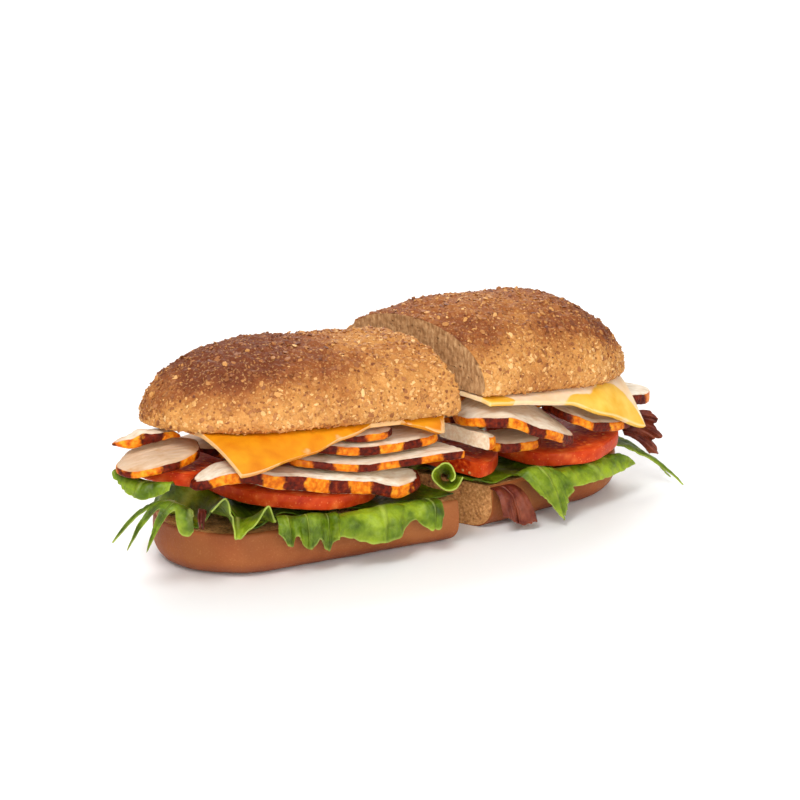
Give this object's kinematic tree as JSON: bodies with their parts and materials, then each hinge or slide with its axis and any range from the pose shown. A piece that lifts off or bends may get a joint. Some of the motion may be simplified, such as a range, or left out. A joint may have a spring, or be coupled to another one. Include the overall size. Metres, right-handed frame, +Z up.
{
  "type": "chicken sub",
  "caption": "Bran-crusted wheat sub roll cut across on the bias, filled with grilled chicken slices, marbled cheese, tomato and mixed lettuce leaves.",
  "frame": {"origin": "middle of the whole sub's bounding box, on the surface that it rests on", "axes": "+Z up, +X along the roll from the left half to the right half, -Y towards the front with the shown side of the filling"},
  "size_m": [0.2974, 0.108, 0.1026],
  "materials": {
    "crust": "baked brown crust, rough, with bran flakes",
    "heel": "smooth baked underside of the roll",
    "cheese": "soft, slightly oily, marbled cream and yellow",
    "tomato": "wet flesh with a smooth skin",
    "chicken": "moist white meat, grilled and charred in bars on its outside",
    "lettuce": "fresh waxy leaf",
    "red_leaf": "dark red waxy leaf"
  },
  "bodies": {
    "root": {"left_crown": "crust", "left_heel": "heel", "left_cheese": "cheese", "left_tomato_1": "tomato", "left_tomato_2": "tomato", "left_chicken_1": "chicken", "left_chicken_2": "chicken", "left_chicken_3": "chicken", "left_chicken_4": "chicken", "left_chicken_5": "chicken", "left_chicken_6": "chicken", "left_chicken_7": "chicken", "left_chicken_8": "chicken", "left_chicken_9": "chicken", "left_leaf_end": "lettuce", "left_leaf_fingers": "lettuce", "left_leaf_frill": "lettuce", "left_leaf_red": "red_leaf", "left_leaf_front": "lettuce", "left_leaf_broad": "lettuce", "left_leaf_back_1": "lettuce", "left_leaf_back_2": "lettuce", "left_leaf_bed": "lettuce", "left_leaf_curl": "lettuce", "right_crown": "crust", "right_heel": "heel", "right_cheese": "cheese", "right_tomato_1": "tomato", "right_tomato_2": "tomato", "right_chicken_1": "chicken", "right_chicken_2": "chicken", "right_chicken_3": "chicken", "right_chicken_4": "chicken", "right_chicken_5": "chicken", "right_chicken_6": "chicken", "right_chicken_7": "chicken", "right_chicken_8": "chicken", "right_leaf_big": "lettuce", "right_leaf_smooth": "lettuce", "right_leaf_thin": "lettuce", "right_leaf_red_end": "red_leaf", "right_leaf_red_cut": "red_leaf", "right_leaf_back_1": "lettuce", "right_leaf_back_2": "lettuce", "right_leaf_bed": "lettuce"}
  },
  "joints": []
}
